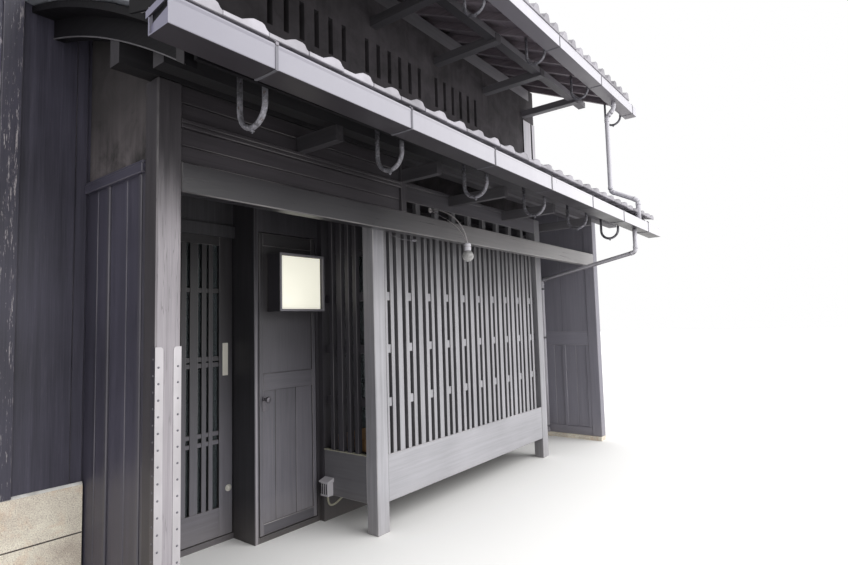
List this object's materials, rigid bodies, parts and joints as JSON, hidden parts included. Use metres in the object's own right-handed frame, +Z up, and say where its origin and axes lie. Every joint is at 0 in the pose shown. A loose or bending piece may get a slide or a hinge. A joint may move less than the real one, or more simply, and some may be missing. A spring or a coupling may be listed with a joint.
{
  "type": "machiya townhouse",
  "caption": "Two-storey timber row house with a lattice bay, a sliding lattice door under a lower tiled roof, a plastered upper wall with slot windows and a gable roof.",
  "frame": {"origin": "middle of the outer box, on the ground", "axes": "+X to the right along the street front, +Y into the house from the street, +Z up"},
  "size_m": [6.67, 10.233, 6.6412],
  "materials": {
    "tan_stone": "rough sawn",
    "dark_boards": "stained and weathered",
    "worn_timber": "weathered",
    "guard_steel": "satin",
    "dark_timber": "stained",
    "grey_timber": "weathered",
    "knob_steel": "satin",
    "sign_panel": "lit from inside",
    "lattice_timber": "weathered",
    "roof_tile": "smoked clay",
    "gutter_metal": "satin",
    "strap_metal": "satin",
    "globe_glass": "opal",
    "grey_plaster": "trowelled",
    "window_glass": "clear",
    "floor_concrete": "rough",
    "floor_timber": "planed",
    "brown_timber": "stained"
  },
  "bodies": {
    "house": {"stone_base": "tan_stone", "left_wing_wall": "dark_boards", "corner_post": "worn_timber", "post_guards": "guard_steel", "left_sleeve_wall": "dark_boards", "entrance_surround": "dark_timber", "service_frame": "dark_timber", "bay_posts": "worn_timber", "bay_front_lattice": "lattice_timber", "bay_left_lattice": "dark_timber", "bay_right_lattice": "dark_timber", "bay_skirt": "lattice_timber", "bay_head": "dark_timber", "bay_boards": "dark_timber", "lower_main_wall": "dark_boards", "end_wall": "dark_boards", "lintel": "worn_timber", "transom": "dark_timber", "long_beams": "dark_timber", "eave_arms": "dark_timber", "lower_rafters": "dark_timber", "lower_roof": "roof_tile", "bargeboard": "dark_timber", "gutters": "gutter_metal", "gutter_straps": "strap_metal", "pole_hooks": "strap_metal", "downpipes": "gutter_metal", "lamp_arm": "gutter_metal", "lamp_globe": "globe_glass", "outlet_box": "strap_metal", "upper_front_wall": "grey_plaster", "party_walls": "grey_plaster", "rear_wall": "grey_plaster", "window_frames": "dark_timber", "window_panes": "window_glass", "ground_floor": "floor_concrete", "upper_floor": "floor_timber", "upper_rafters": "brown_timber", "upper_roof_front": "roof_tile", "upper_roof_rear": "roof_tile", "ridge": "roof_tile"},
    "sliding_door": {"entrance_door": "grey_timber"},
    "service_leaf": {"service_door": "dark_timber", "service_knob": "knob_steel", "sign_box": "sign_panel"}
  },
  "joints": [
    {"name": "entrance_slide", "type": "slide", "parent": "house", "child": "sliding_door", "axis": [-1, 0, 0], "range_m": [0, 0.85]},
    {"name": "service_hinge", "type": "hinge", "parent": "house", "child": "service_leaf", "pos_m": [-0.679, -3.4355, 1.1], "axis": [0, 0, -1], "range_deg": [0, 90]}
  ]
}
